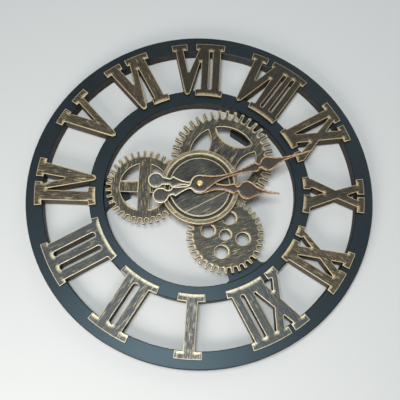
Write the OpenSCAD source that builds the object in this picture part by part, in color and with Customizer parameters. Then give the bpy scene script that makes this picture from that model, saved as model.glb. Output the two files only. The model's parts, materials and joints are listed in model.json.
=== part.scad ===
// Gear wall clock: two painted rings joined by twelve roman numerals, three fixed show gears,
// a turned centre disc, spade hands and a battery movement behind the gears.
// Millimetres. The clock hangs on a wall in the XZ plane: +X is at III, +Z is at XII and the dial
// faces -Y. Modules draw on a flat face (x to the right, y up, z out of the wall) and hung() stands
// that face up, with the origin at the hanging point on the wall.

/* [Rings] */
// Outside diameter of the clock
clock_d = 400; // [300:10:600]
// Radial width of the outer ring
outer_w = 19.4; // [12:0.2:30]
// Outside radius of the inner ring
inner_r = 127.8; // [100:0.2:150]
// Radial width of the inner ring
inner_w = 17.2; // [10:0.2:25]
// Thickness of both rings
ring_t = 15; // [8:0.5:20]
// Chamfer on the front edges of the rings
ring_chamfer = 0.8; // [0.2:0.1:2]
// Thickness of the three tabs of the inner ring that carry the gears
tab_t = 12; // [6:0.5:15]

/* [Numerals] */
// How far the numerals stand out in front of the rings
numeral_proud = 3.5; // [1:0.25:6]
// How far the numerals lap onto the outer ring
lap_out = 9; // [6.5:0.1:12]
// How far the numerals lap onto the inner ring
lap_in = 8; // [6.5:0.1:11]
// Radial height of a serif
serif_h = 8.4; // [4:0.2:14]
// Radius that softens each inside corner of a numeral
corner_r = 1; // [0.5:0.25:3]
// Gap between a numeral's deep part and the rings
numeral_gap = 0.25; // [0.1:0.05:1]

/* [Show gears] */
// Thickness of a gear plate
gear_t = 5; // [2:0.5:8]
// Height of the gears' backs above the wall
gear_z = 18; // [15:0.5:24]
// Tip radius of the top gear
top_r = 43.6; // [30:0.2:60]
// Tip radius of the lower left gear
left_r = 59.6; // [40:0.2:70]
// Tip radius of the lower right gear
right_r = 44; // [30:0.2:60]

/* [Centre disc] */
// Outside radius of the disc
disc_r = 44.5; // [35:0.5:60]
// Thickness of the disc's rim
disc_t = 10; // [6:0.5:16]
// How far the disc's face lies behind its rim
face_drop = 1.5; // [0.5:0.25:4]

/* [Hands] */
// Angle of the hour hand at rest, clockwise from XII
hour_angle = 304; // [0:0.1:360]
// Angle of the minute hand at rest, clockwise from XII
minute_angle = 280; // [0:0.1:360]
// Thickness of a hand's blade
hand_t = 1; // [0.5:0.1:2]
// Height of the raised rim around a hand
rim_t = 0.5; // [0.2:0.1:1]

/* [Movement] */
// Side of the square movement case
case_w = 56; // [50:1:60]
// Height of the movement's back above the wall
case_z = 1.5; // [0.5:0.1:4]
// Thickness of the movement case
case_t = 15.5; // [14:0.5:20]
// Wall of the movement case
case_wall = 1.2; // [0.8:0.1:2]
// Outside radius of the threaded bush
bush_r = 4; // [3.5:0.1:5]
// Radius of the minute arbor
arbor_r = 1.5; // [1:0.05:2]
// Running clearance of a shaft in its hole, on the radius
run_gap = 0.06; // [0.02:0.01:0.1]
// Gap between parts that move past each other
free_gap = 0.3; // [0.2:0.05:0.6]

/* [Hidden] */
$fn = 96;
eps = 0.01;
// How far a cut runs past the face that it opens
over = 1;

// Rings
outer_r = clock_d / 2;
outer_in_r = outer_r - outer_w;
inner_in_r = inner_r - inner_w;
front_z = ring_t;

// Colours
ring_c = [0.17, 0.20, 0.25];
bronze_c = [0.50, 0.46, 0.36];
hand_c = [0.36, 0.29, 0.23];
brass_c = [0.80, 0.70, 0.45];
steel_c = [0.62, 0.63, 0.65];
case_c = [0.09, 0.09, 0.10];
wheel_c = [0.88, 0.87, 0.82];
rubber_c = [0.06, 0.06, 0.06];
copper_c = [0.72, 0.38, 0.18];
board_c = [0.10, 0.30, 0.16];
battery_c = [0.20, 0.22, 0.24];

// Hanging point: the slot of the keyhole plate, at the top of the outer ring
hanger_w = 38;
hanger_h = 15.6;
hanger_t = 1;
hanger_mid = outer_in_r + outer_w / 2;
keyhole_r = 4.4;
slot_r = 2.1;
slot_rise = 5.2;
keyhole_drop = 2.5;
keyhole_clear = 0.6;
keyhole_depth = 4;
hanger_screw_len = 9;
keyhole_y = hanger_mid - keyhole_drop;
hang_y = keyhole_y + slot_rise;
hanger_screw_x = 14;

// Numerals: the strokes are read at the inner edge of each serif
numeral_out_r = outer_in_r + lap_out;
numeral_in_r = inner_r - lap_in;
head_y = numeral_out_r - serif_h;
foot_y = numeral_in_r + serif_h;
lap_r_out = outer_in_r + lap_out / 2;
lap_r_in = inner_r - lap_in / 2;
numeral_depth = 12.5;

// One row per numeral, I to XII. A stroke is [head left, head right, foot left, foot right],
// measured across the numeral's own axis, clockwise positive.
strokes = [
  [[-1.9, 10.4, -3.6, 9.1]],
  [[-14.9, 14.7, -14.9, 14.7]],
  [[-23.1, 21.8, -21.9, 22.5]],
  [[-19.4, -7.4, -18.8, -7.2]],
  [],
  [[5.8, 17.8, 6.1, 17.8]],
  [[-4.6, 19, -4.4, 18.2]],
  [[-2.7, 31.4, -2.9, 28.2]],
  [[-20.5, -10.6, -19.5, -10.6], [-10.7, -3.6, 13.4, 22.5], [10.9, 21.6, -11, 0.5]],
  [[-15.4, -6.7, 2, 14.9], [4.6, 12.6, -19.8, -9.5]],
  [[-27.6, -15.4, -4.4, 6.7], [-3.5, 6.6, -22.7, -16.6], [6.2, 16, 6.2, 15]],
  [[-33, -21.8, -13, 1.8], [-9.1, 1.5, -30.6, -23.6], [1.9, 26.3, 1.9, 25.8]]];
// A V is [outer left, inner left, inner right, outer right] at its head, [x, y] of its inner
// corner and x of its tip.
vees = [[], [], [],
  [[-7.2, -0.5, 12.3, 26.7, 7.8, 153, 9.6]],
  [[-14.6, -2.9, 15.7, 23.8, 6.5, 150.3, 3.9]],
  [[-27.7, -15.7, -1.4, 6.5, -8.4, 152.3, -10.2]],
  [[-38, -28.3, -7.8, -1.8, -19.8, 147.6, -20]],
  [[-33.4, -22.9, -8, 1.2, -18.2, 151, -22.3]],
  [], [], [], []];
// A slot between two bars is [x at the head, x at the foot, width]
slots = [[], [[-0.3, -0.3, 7.8]], [[-9, -8.6, 6.6], [7.6, 8.1, 6.4]], [], [], [],
  [[7, 6.6, 3.9]], [[9.6, 6.3, 4.2], [20.9, 18.1, 4.2]], [], [], [], [[14.6, 14.7, 4.3]]];
// Serifs at the outer end and at the inner end, each [left, right]. Their ends lie on radii.
heads = [[[-10.5, 20.6]], [[-24.9, 24.5]], [[-27.8, 25.6]], [[-26.6, 2.5], [9, 32.3]],
  [[-21, 0], [12, 33.2]], [[-35.1, -12.2], [-5.3, 24.1]], [[-43.5, -23.5], [-12, 24.3]],
  [[-39.7, -18.3], [-11.3, 37.3]], [[-28.2, 0.2], [6.2, 27.3]], [[-22.3, -3.2], [0.3, 19.2]],
  [[-31, -12], [-5.7, 22.6]], [[-38.8, -18.5], [-14.1, 32.6]]];
feet = [[[-12, 19.6]], [[-24.6, 24.1]], [[-28.1, 27.3]], [[-24, -1.9]], [], [[2, 23.2]],
  [[-11, 22.7]], [[-8.1, 31.2]], [[-22.1, 5], [11.1, 24.4]], [[-22.6, -7.2], [0, 22.5]],
  [[-27.8, -14.7], [-8.9, 18.5]], [[-34.5, -19.5], [-14.1, 31.6]]];
// Where the two screws of each numeral stand, [x at the outer ring, x at the inner ring]
fixings = [[4.5, 3], [-9.7, -9.7], [0, 0], [-13, -13], [-9, 4.3], [-23, 12], [-33, 7],
  [-29, 12], [-15, -15], [-13, -14], [-21, -21], [-28, -28]];
vee_tip_w = 6;
vee_tip_h = 2;
stroke_lap = 1;
slot_drop = 1.8;
serif_reach = 1.1;

// Numeral screws, from the back of the rings into the laps
screw_r = 1.2;
screw_head_r = 2.4;
screw_head_t = 1.6;
screw_bite = 2.4;
head_sink = 0.2;
head_taper = 0.3;

// Show gears: centre, tooth count and angle of one tooth
top_at = [-0.3, 61];
left_at = [-41.3, -21.8];
right_at = [55, -31.9];
top_teeth = 34;
left_teeth = 39;
right_teeth = 34;
top_phase = 9.7;
left_phase = 4.9;
right_phase = 9.6;
short_tooth = 6.4;
long_tooth = 10;
mesh_gap = 0.6;
root_share = 0.27;
mouth_share = 0.33;
gear_front = gear_z + gear_t;
relief_gap = 0.5;
spacer_r = 26.5;
relief_r = spacer_r + relief_gap;

// Top gear: one centre hole and four around it
top_hole_r = 6;
top_ring_hole_r = 7.4;
top_ring_r = 20;
top_hole_angle = 49;

// Left gear: four lens windows between a rim circle and an inner arc
lens_angle = 35.2;
lens_rim_r = 38.5;
lens_arc_r = 29;
lens_arc_at = 47.6;

// Right gear: an open ring crossed by a long bar and a lower cross bar
ring_hole_r = 27.8;
bar_angle = 60.4;
bar_w = 13.6;
cross_drop = 1.2;

// Tabs of the inner ring: [direction, sideways shift, half width, inner end]
tabs = [[90, 2.3, 18.5, 84], [208.4, -1, 13, 82], [0, -45, 12, 73]];
tab_fillet = 7;
tab_screws = [[-2.3, 92], [-80.2, -45.2], [84, -45]];
spacer_out_r = 5;
tab_screw_r = 2;
tab_screw_head_r = 3.8;
tab_screw_head_t = 2.4;
tab_screw_cover = 1;
tab_round = 2;
tab_root = 2;

// Centre disc
rim_in_r = 38.7;
face_r = 35;
groove_drop = 4;
rim_edge = 1.6;
rim_nose = 0.5;
groove_lip = 0.6;
face_lip = 0.8;
disc_front = gear_front + disc_t;
face_z = disc_front - face_drop;
disc_screw_r = 1.5;
disc_screw_head_r = 3;
disc_screw_head_t = 1.6;
disc_screw_bite = 4.5;
disc_head_gap = 0.1;
disc_screw_at = [[-15, 32], [15, 32], [-32, -9], [-2.3, -39.5], [33.5, -7.2], [23, -27]];

// Stack on the bush
case_front = case_z + case_t;
gasket_t = gear_z - case_front;
gasket_r = 13;
washer_r = 8;
washer_t = 0.6;
nut_af = 11;
nut_t = 2.6;
nut_z = face_z + washer_t;
thread_proud = 1.3;
bush_top = nut_z + nut_t + thread_proud;
bush_flange_r = 5.5;
bush_flange_t = 0.45;
tube_in_r = arbor_r + run_gap;
tube_r = 2.5;
bush_in_r = tube_r + run_gap;
hub_t = hand_t + rim_t;
hand_gap = 0.8;
hour_z = bush_top + hand_gap;
tube_proud = 0.2;
tube_top = hour_z + hub_t + tube_proud;
hands_apart = 2.4;
minute_z = tube_top + hands_apart;
tip_r = 1.2;
cap_r = 3.4;
cap_h = 3.8;
cap_bevel = 1.2;
cap_bevel_h = 1;
cap_roof = 1.2;
cap_z = minute_z + hub_t;

// Hands: [distance from the axis, half width] along the blade and along the tail
minute_blade = [[8, 8.4], [14, 5.6], [22, 3.4], [32, 2.2], [42, 2.3], [52, 3.2], [60, 4.6],
  [66, 5.6], [68.5, 4.2], [70.5, 2.5], [72, 3.4], [75, 6.8], [79, 8.6], [83, 8], [88, 5.8],
  [94, 3.4], [101, 2.2], [110, 1.5], [122, 1.1], [134.5, 0.8]];
minute_tail = [[8, 7.4], [10.5, 3.6], [13, 2], [18, 2.6], [24, 4], [29.5, 5.8], [31, 5.2],
  [32.6, 3.4], [35, 3.3], [38, 4.4]];
hour_blade = [[8, 8.4], [12, 6.6], [17, 4.6], [23, 3.6], [29, 3.8], [34, 4.8], [38.5, 6.2],
  [40.4, 5], [42, 3.4], [43.6, 4], [46, 7.6], [49, 10], [53, 10.9], [57, 10], [61, 7.4],
  [66, 4.6], [72, 2.6], [80, 1.5], [89.5, 0.9]];
hour_tail = [[8, 7.4], [10.5, 3.8], [13, 2.3], [19, 2.8], [25, 4.4], [30.5, 6.6], [32, 5.8],
  [33.8, 4], [37, 4.2], [42, 4.9]];
hub_r = 10.6;
hub_hole_rim = 1.2;
rim_w = 1.5;
weight_r = 9;
minute_weight = 45.5;
hour_weight = 49.5;
curve_steps = 3;

// Movement train, drawn in the case from the front plate backwards
case_round = 3;
plate_in = case_front - case_wall;
cover_in = case_z + case_wall;
bay_end = case_w / 2 - case_wall;
// Room below the axis for the wheels, down to the wall of the battery's bay
wheel_room = 10.2;
bay_y = -wheel_room - case_wall;

// Battery, as thick and as long as its bay takes, and its two contacts
battery_side_gap = 0.2;
bay_gap = 1.2;
battery_lift = 0.1;
battery_r = min((bay_end + bay_y - battery_side_gap - bay_gap) / 2,
  (plate_in - case_z - battery_lift) / 2 - battery_lift / 2);
battery_nub_r = 2.7;
battery_nub_len = 1.2;
contact_t = 0.4;
contact_w = 10;
spring_r = 4;
spring_tip_r = 2.4;
spring_len = 2.4;
battery_len = 2 * (bay_end - contact_t) - spring_len - battery_nub_len;
battery_x = contact_t + spring_len + battery_len / 2 - bay_end;
battery_y = battery_r + battery_side_gap - bay_end;
battery_z = case_z + battery_r + battery_lift;

// Wheels
wheel_t = 0.9;
tooth_slope = 0.36;
cannon_m = 0.4;
cannon_n = 12;
motion_n = 36;
motion_pinion_n = 10;
hour_n = 40;
train_m = 0.34;
centre_n = 48;
third_pinion_n = 8;
fine_m = 0.25;
third_n = 60;
fourth_pinion_n = 6;
fourth_n = 40;
motion_dist = cannon_m * (cannon_n + motion_n) / 2;
hour_m = 2 * motion_dist / (motion_pinion_n + hour_n);
third_dist = train_m * (centre_n + third_pinion_n) / 2;
fourth_dist = fine_m * (third_n + fourth_pinion_n) / 2;
motion_dir = 160;
third_dir = 50;
fourth_dir = 10;
motion_at = motion_dist * [cos(motion_dir), sin(motion_dir)];
third_at = third_dist * [cos(third_dir), sin(third_dir)];
fourth_at = third_at + fourth_dist * [cos(fourth_dir), sin(fourth_dir)];
motion_t = 1.2;
wheel_step = 1.8;
centre_step = 1.6;
hour_wheel_z = plate_in - bush_flange_t - free_gap - motion_t;
motion_wheel_z = hour_wheel_z - wheel_step;
centre_z = motion_wheel_z - centre_step;
third_z = centre_z - wheel_step;
fourth_z = third_z - wheel_step;
// How far a pinion is longer than the wheel that it drives
pinion_over = 0.3;
small_arbor_r = 0.8;
fine_arbor_r = 0.5;
boss_h = 2.5;
boss_floor = 0.6;
boss_gap = 0.4;
boss_r = 1.6;
centre_boss_r = 3;
arbor_bottom = cover_in + boss_h;
centre_boss_h = third_z - boss_gap - cover_in;
rotor_boss_h = 1;
rotor_boss_floor = 0.2;
// How far an arbor enters its blind hole in the case's front plate
pivot_in = 0.6;
pivot_hole = 0.8;
foot_gap = 0.3;
rotor_foot_gap = 0.2;
knob_r = 4.6;
knob_t = 2.4;
knob_z = 0.4;
knob_groove_r = 0.5;
knob_grooves = 18;

// Motor and circuit
rotor_at = [bay_end - 6.8, bay_end - 10.3];
rotor_r = 3;
rotor_t = 2.2;
rotor_z = cover_in + rotor_boss_h + free_gap;
stator_t = 0.8;
stator_z = rotor_z + (rotor_t - stator_t) / 2;
stator_gap = 0.4;
stator_w = 18;
stator_h = 16;
stator_right = bay_end - 0.8;
stator_left = stator_right - stator_w;
stator_high = bay_end - 1.8;
stator_low = stator_high - stator_h;
stator_arm = 4;
stator_pole_x = stator_right - 11.5;
post_in = 1.5;
stator_posts = [[stator_left + 1, stator_high - 3], [stator_right - post_in, stator_high - 3],
  [stator_right - post_in, stator_low + post_in]];
stator_post_r = 1.5;
coil_at = [stator_left - 9, stator_high - 3];
coil_len = 17;
coil_r = 3.3;
coil_flange_t = 0.8;
coil_flange = 0.5;
coil_z = stator_z + 3.5;
core_h = 2.2;
core_w = 3;
core_out = 2;
core_leg_x = stator_left + 0.6;
core_z = coil_z - core_h / 2;
core_y = coil_at[1] - core_w / 2;
board_w = 10;
board_h = 26;
board_gap = 1.3;
board_at = [board_gap + board_w / 2 - bay_end, 11];
board_t = 1;
board_z = stator_z;
board_post_x = 3.5;
board_post_y = 11;
board_post_r = 1;
blob_r = 3;
blob_flat = 0.5;
blob_y = -4;
crystal_r = 1.5;
crystal_len = 7;
crystal_shift = [1, 3];

// Point on a smooth curve through a list, between entries i and i + 1
function smooth_at(p, i, t) =
  let(a = p[max(i - 1, 0)], b = p[i], c = p[i + 1], d = p[min(i + 2, len(p) - 1)])
  0.5 * (2 * b + (c - a) * t + (2 * a - 5 * b + 4 * c - d) * t * t
    + (3 * b - a - 3 * c + d) * t * t * t);
function smooth(p) = concat(
  [for (i = [0 : len(p) - 2]) for (s = [0 : curve_steps - 1]) smooth_at(p, i, s / curve_steps)],
  [p[len(p) - 1]]);
function reversed(p) = [for (i = [len(p) - 1 : -1 : 0]) p[i]];
// Tooth angle of a wheel in mesh with another one that lies in direction dir from it
function mesh_phase(dir, n_from, n_to, phase) =
  dir + 180 + (dir - phase) * n_from / n_to + 180 / n_to;

module hung() {
  translate([0, 0, -hang_y]) rotate([90, 0, 0]) children();
}

module plate(z, t) {
  translate([0, 0, z]) linear_extrude(t) children();
}

module rod(z, h, r) {
  translate([0, 0, z]) cylinder(h = h, r = r);
}

module at_clock(angle, p) {
  rotate(-angle) translate(p) children();
}

// Rings

module ring_solid(r_out, r_in) {
  rotate_extrude($fn = 180)
    polygon([[r_in, 0], [r_out, 0], [r_out, front_z - ring_chamfer],
      [r_out - ring_chamfer, front_z], [r_in + ring_chamfer, front_z],
      [r_in, front_z - ring_chamfer]]);
}

// The place of a numeral's screw on the middle of its lap: end 0 is on the outer ring
function fixing(i, end) = let(r = end == 0 ? lap_r_out : lap_r_in, x = fixings[i][end])
  [x, sqrt(r * r - x * x)];

module numeral_screw_holes(end) {
  for (i = [0 : 11]) at_clock(30 * (i + 1), fixing(i, end)) {
    rod(-eps, front_z + over, screw_r, $fn = 16);
    rod(-eps, screw_head_t + head_sink, screw_head_r, $fn = 20);
  }
}

module keyhole() {
  translate([0, keyhole_y]) circle(keyhole_r, $fn = 40);
  translate([-slot_r, keyhole_y]) square([2 * slot_r, slot_rise]);
  translate([0, hang_y]) circle(slot_r, $fn = 24);
}

module hanger_screw_rods(z) {
  for (s = [-1, 1]) translate([s * hanger_screw_x, hanger_mid, z])
    cylinder(h = hanger_screw_len - z, r = screw_r, $fn = 16);
}

module outer_ring() {
  color(ring_c) hung() difference() {
    ring_solid(outer_r, outer_in_r);
    numeral_screw_holes(0);
    plate(-eps, hanger_t + eps) translate([-hanger_w / 2, hanger_mid - hanger_h / 2])
      square([hanger_w, hanger_h]);
    plate(-eps, hanger_t + keyhole_depth) {
      translate([0, keyhole_y]) circle(keyhole_r + keyhole_clear, $fn = 40);
      translate([-keyhole_r, keyhole_y])
        square([2 * keyhole_r, slot_rise + slot_r + keyhole_clear]);
    }
    hanger_screw_rods(-eps);
  }
}

module tab_flat(t) {
  end = t[3] + tab_round;
  flat = t[2] - tab_round;
  rotate(t[0]) translate([0, t[1]]) {
    translate([end, -t[2]]) square([inner_in_r + tab_root - end, 2 * t[2]]);
    translate([t[3], -flat]) square([2 * tab_round, 2 * flat]);
    for (s = [-1, 1]) translate([end, s * flat]) circle(tab_round, $fn = 24);
  }
}

// Concave corner where a tab's side meets the ring, no larger than that side has room for
module tab_corner(t, s) {
  side = t[1] + s * t[2];
  end = t[3] + tab_round;
  r = min(tab_fillet,
    (inner_in_r * inner_in_r - side * side - end * end) / (2 * (inner_in_r + s * side)));
  mid = side + s * r;
  meet = sqrt(pow(inner_in_r - r, 2) - mid * mid);
  rotate(t[0]) difference() {
    translate([meet, min(side, mid)]) square([r + tab_root, r]);
    translate([meet, mid]) circle(r, $fn = 48);
  }
}

module inner_ring() {
  color(ring_c) hung() difference() {
    union() {
      ring_solid(inner_r, inner_in_r);
      plate(0, tab_t) intersection() {
        for (t = tabs) {
          tab_flat(t);
          for (s = [-1, 1]) tab_corner(t, s);
        }
        circle(inner_in_r + tab_root / 2, $fn = 180);
      }
    }
    numeral_screw_holes(1);
    for (p = tab_screws) translate(p) {
      rod(-eps, ring_t, tab_screw_r, $fn = 24);
      rod(-eps, tab_screw_head_t + head_sink, tab_screw_head_r, $fn = 24);
      rod(tab_t, ring_t, spacer_out_r + free_gap, $fn = 32);
    }
  }
}

// Numerals

module bar(s) {
  head = head_y + stroke_lap;
  end_y = numeral_in_r + 2 * stroke_lap;
  polygon([[s[0], head], [s[1], head], [s[3], foot_y], [s[3], end_y], [s[2], end_y],
    [s[2], foot_y]]);
}

module vee(v) {
  head = head_y + stroke_lap;
  tip_y = numeral_in_r;
  polygon([[v[0], head], [v[6] - vee_tip_w / 2, tip_y + vee_tip_h], [v[6], tip_y],
    [v[6] + vee_tip_w / 2, tip_y + vee_tip_h], [v[3], head], [v[2], head], [v[4], v[5]],
    [v[1], head]]);
}

module serif(span, y_in, y_out) {
  intersection() {
    polygon([[0, 0], serif_reach * [span[0], y_out], serif_reach * [span[1], y_out]]);
    difference() {
      circle(y_out, $fn = 180);
      circle(y_in, $fn = 180);
    }
  }
}

module slot(s) {
  r = s[2] / 2;
  top = [s[0], head_y - slot_drop - r];
  low = [s[1], foot_y + r];
  translate(top) circle(r, $fn = 20);
  translate(low) circle(r, $fn = 20);
  polygon([top - [r, 0], top + [r, 0], low + [r, 0], low - [r, 0]]);
}

module glyph(i) {
  difference() {
    offset(r = -corner_r, $fn = 24) offset(delta = corner_r) intersection() {
      union() {
        for (s = strokes[i]) bar(s);
        for (v = vees[i]) vee(v);
        for (h = heads[i]) serif(h, head_y, numeral_out_r);
        for (f = feet[i]) serif(f, numeral_in_r, foot_y);
      }
      difference() {
        circle(numeral_out_r, $fn = 180);
        circle(numeral_in_r, $fn = 180);
      }
    }
    for (s = slots[i]) slot(s);
  }
}

module numeral(i) {
  color(bronze_c) hung() difference() {
    rotate(-30 * (i + 1)) {
      plate(front_z, numeral_proud) glyph(i);
      plate(front_z - numeral_depth, numeral_depth) intersection() {
        glyph(i);
        difference() {
          circle(outer_in_r - numeral_gap, $fn = 180);
          circle(inner_r + numeral_gap, $fn = 180);
        }
      }
    }
    for (end = [0, 1]) at_clock(30 * (i + 1), fixing(i, end))
      rod(front_z - over, screw_bite + over, screw_r, $fn = 16);
  }
}

module numeral_i() { numeral(0); }
module numeral_ii() { numeral(1); }
module numeral_iii() { numeral(2); }
module numeral_iv() { numeral(3); }
module numeral_v() { numeral(4); }
module numeral_vi() { numeral(5); }
module numeral_vii() { numeral(6); }
module numeral_viii() { numeral(7); }
module numeral_ix() { numeral(8); }
module numeral_x() { numeral(9); }
module numeral_xi() { numeral(10); }
module numeral_xii() { numeral(11); }

module screw(length, r, head_r, head_t) {
  cylinder(h = length, r = r, $fn = 16);
  cylinder(h = head_t, r1 = head_r, r2 = head_r - head_taper, $fn = 20);
}

module numeral_screw() {
  translate([0, 0, head_sink])
    screw(front_z + screw_bite - head_sink, screw_r, screw_head_r, screw_head_t);
}

module numeral_screws() {
  color(steel_c) hung() for (i = [0 : 11]) {
    for (end = [0, 1]) at_clock(30 * (i + 1), fixing(i, end)) numeral_screw();
  }
}

// Show gears

// Gap between two teeth: a round root that opens outwards
module tooth_gap(r_tip, tooth, n) {
  root_r = root_share * 2 * PI * (r_tip - tooth) / n;
  mouth = mouth_share * 2 * PI * r_tip / n;
  root_x = r_tip - tooth + root_r;
  translate([root_x, 0]) circle(root_r, $fn = 20);
  polygon([[root_x, -root_r], [r_tip + over, -mouth], [r_tip + over, mouth], [root_x, root_r]]);
}

module toothed(r_tip, tooth, n, phase) {
  difference() {
    circle(r_tip, $fn = 180);
    for (k = [0 : n - 1]) rotate(phase + (k + 0.5) * 360 / n) tooth_gap(r_tip, tooth, n);
  }
}

module tab_pilot_holes() {
  for (p = tab_screws) translate(p)
    rod(gear_z - over, gear_t + over - tab_screw_cover, tab_screw_r, $fn = 24);
}

module disc_pilot_holes(z, h) {
  for (p = disc_screw_at) translate(p) rod(z, h, disc_screw_r, $fn = 20);
}

module disc_screw_heads() {
  for (p = disc_screw_at) translate(p)
    rod(gear_z - eps, disc_screw_head_t + disc_head_gap, disc_screw_head_r, $fn = 24);
}

module gear_cuts() {
  tab_pilot_holes();
  disc_pilot_holes(gear_z - over, gear_t + 2 * over);
  disc_screw_heads();
}

module gear_top() {
  color(bronze_c) hung() difference() {
    plate(gear_z, gear_t) difference() {
      translate(top_at) difference() {
        toothed(top_r, short_tooth, top_teeth, top_phase);
        circle(top_hole_r);
        for (k = [0 : 3]) rotate(top_hole_angle + 90 * k) translate([top_ring_r, 0])
          circle(top_ring_hole_r);
      }
      circle(relief_r);
    }
    gear_cuts();
  }
}

module lens_window() {
  intersection() {
    circle(lens_rim_r);
    translate([lens_arc_at, 0]) circle(lens_arc_r);
  }
}

module gear_left() {
  color(bronze_c) hung() difference() {
    plate(gear_z, gear_t) difference() {
      translate(left_at) difference() {
        toothed(left_r, long_tooth, left_teeth, left_phase);
        for (k = [0 : 3]) rotate(lens_angle + 90 * k) lens_window();
      }
      translate(top_at) circle(top_r + mesh_gap, $fn = 180);
      translate(right_at) circle(right_r + mesh_gap, $fn = 180);
      circle(relief_r);
    }
    gear_cuts();
  }
}

module right_bars() {
  rotate(bar_angle) square([2 * ring_hole_r + 1, bar_w], center = true);
}

module gear_right() {
  color(bronze_c) hung() difference() {
    union() {
      plate(gear_z, gear_t) difference() {
        translate(right_at) {
          difference() {
            toothed(right_r, short_tooth, right_teeth, right_phase);
            circle(ring_hole_r);
          }
          right_bars();
        }
        circle(relief_r);
      }
      plate(gear_z, gear_t - cross_drop) difference() {
        translate(right_at) rotate(90) right_bars();
        circle(relief_r);
      }
    }
    gear_cuts();
  }
}

module gear_spacers() {
  color(case_c) hung() for (p = tab_screws) translate(p) difference() {
    rod(tab_t, gear_z - tab_t, spacer_out_r, $fn = 32);
    rod(tab_t - over, gear_z, tab_screw_r, $fn = 24);
  }
}

module gear_screws() {
  color(steel_c) hung() for (p = tab_screws) translate([p[0], p[1], head_sink])
    screw(gear_z + gear_t - tab_screw_cover - head_sink, tab_screw_r, tab_screw_head_r,
      tab_screw_head_t);
}

// Centre disc and its fixing

module centre_spacer() {
  color(bronze_c) hung() plate(gear_z, gear_t) difference() {
    circle(spacer_r);
    circle(bush_r);
  }
}

module centre_disc() {
  color(bronze_c) hung() difference() {
    rotate_extrude($fn = 144)
      polygon([[bush_r, gear_front], [disc_r, gear_front], [disc_r, disc_front - rim_edge],
        [disc_r - rim_nose, disc_front - rim_nose], [disc_r - rim_edge, disc_front],
        [rim_in_r + groove_lip, disc_front], [rim_in_r, disc_front - groove_lip],
        [rim_in_r - groove_lip, disc_front - groove_drop],
        [face_r + face_lip, disc_front - groove_drop], [face_r, face_z - face_lip],
        [face_r - face_lip, face_z], [bush_r, face_z]]);
    disc_pilot_holes(gear_front - over, disc_screw_bite + over);
  }
}

module disc_screws() {
  color(steel_c) hung() for (p = disc_screw_at) translate([p[0], p[1], gear_z])
    screw(gear_t + disc_screw_bite, disc_screw_r, disc_screw_head_r, disc_screw_head_t);
}

module gasket() {
  color(rubber_c) hung() plate(case_front, gasket_t) difference() {
    circle(gasket_r);
    circle(bush_r);
  }
}

module bush() {
  color(brass_c) hung() difference() {
    union() {
      rod(plate_in - bush_flange_t, bush_flange_t, bush_flange_r);
      rod(plate_in, bush_top - plate_in, bush_r);
    }
    rod(plate_in - over, bush_top, bush_in_r);
  }
}

module bush_washer() {
  color(brass_c) hung() plate(face_z, washer_t) difference() {
    circle(washer_r);
    circle(bush_r);
  }
}

module bush_nut() {
  color(brass_c) hung() difference() {
    rod(nut_z, nut_t, nut_af / 2 / cos(30), $fn = 6);
    rod(nut_z - over, nut_t + 2 * over, bush_r);
  }
}

// Movement

module case_flat(inset) {
  w = case_w / 2 - inset;
  r = case_round - inset;
  square([2 * w, 2 * (w - r)], center = true);
  square([2 * (w - r), 2 * w], center = true);
  for (sx = [-1, 1]) for (sy = [-1, 1]) translate([sx * (w - r), sy * (w - r)])
    circle(r, $fn = 32);
}

module bay_flat() {
  translate([-bay_end, -bay_end]) square([2 * bay_end, bay_end + bay_y]);
}

module train_flat() {
  intersection() {
    case_flat(case_wall);
    translate([-case_w, bay_y + case_wall]) square([2 * case_w, case_w]);
  }
}

module arbor_hole(p, r) {
  translate(p) rod(plate_in - over, over + pivot_hole, r, $fn = 24);
}

module movement_case() {
  color(case_c) hung() difference() {
    plate(cover_in, case_front - cover_in) case_flat(0);
    plate(cover_in - eps, plate_in - cover_in + eps) {
      bay_flat();
      train_flat();
    }
    rod(plate_in - over, case_t, bush_r);
    arbor_hole(motion_at, small_arbor_r + run_gap);
    for (p = [third_at, fourth_at, rotor_at]) arbor_hole(p, fine_arbor_r + run_gap);
  }
}

module cover_boss(p, h, floor_t, r_out, r_in) {
  translate(p) difference() {
    rod(cover_in, h, r_out, $fn = 32);
    rod(cover_in + floor_t, h, r_in, $fn = 32);
  }
}

module cover_post(p, h, r) {
  translate(p) rod(cover_in, h, r, $fn = 24);
}

module movement_cover() {
  color(case_c) hung() {
    difference() {
      plate(case_z, case_wall) intersection() {
        case_flat(0);
        translate([-case_w, bay_y]) square([2 * case_w, case_w]);
      }
      translate(motion_at)
        rod(case_z - over, case_wall + 2 * over, knob_r + free_gap, $fn = 48);
    }
    cover_boss([0, 0], centre_boss_h, boss_floor, centre_boss_r, arbor_r + run_gap);
    for (p = [third_at, fourth_at])
      cover_boss(p, boss_h, boss_floor, boss_r, fine_arbor_r + run_gap);
    cover_boss(rotor_at, rotor_boss_h, rotor_boss_floor, boss_r, fine_arbor_r + run_gap);
    for (p = stator_posts) cover_post(p, stator_z - cover_in, stator_post_r);
    for (sx = [-1, 1]) for (sy = [-1, 1])
      cover_post(board_at + [sx * board_post_x, sy * board_post_y], board_z - cover_in,
        board_post_r);
  }
}

// Movement wheel of module m with n straight-sided teeth, thin enough to run with backlash
module wheel_flat(m, n, phase) {
  r = m * n / 2;
  tip = r + 0.8 * m;
  root = r - 1.15 * m;
  half = 0.21 * PI * m;
  foot_half = half + tooth_slope * 0.9 * m;
  tip_half = half - tooth_slope * 0.8 * m;
  rotate(phase) union() {
    circle(root + 0.02 * m, $fn = max(24, n));
    for (k = [0 : n - 1]) rotate(k * 360 / n)
      polygon([[root * 0.94, -foot_half], [root, -foot_half], [tip, -tip_half], [tip, tip_half],
        [root, foot_half], [root * 0.94, foot_half]]);
  }
}

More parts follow.
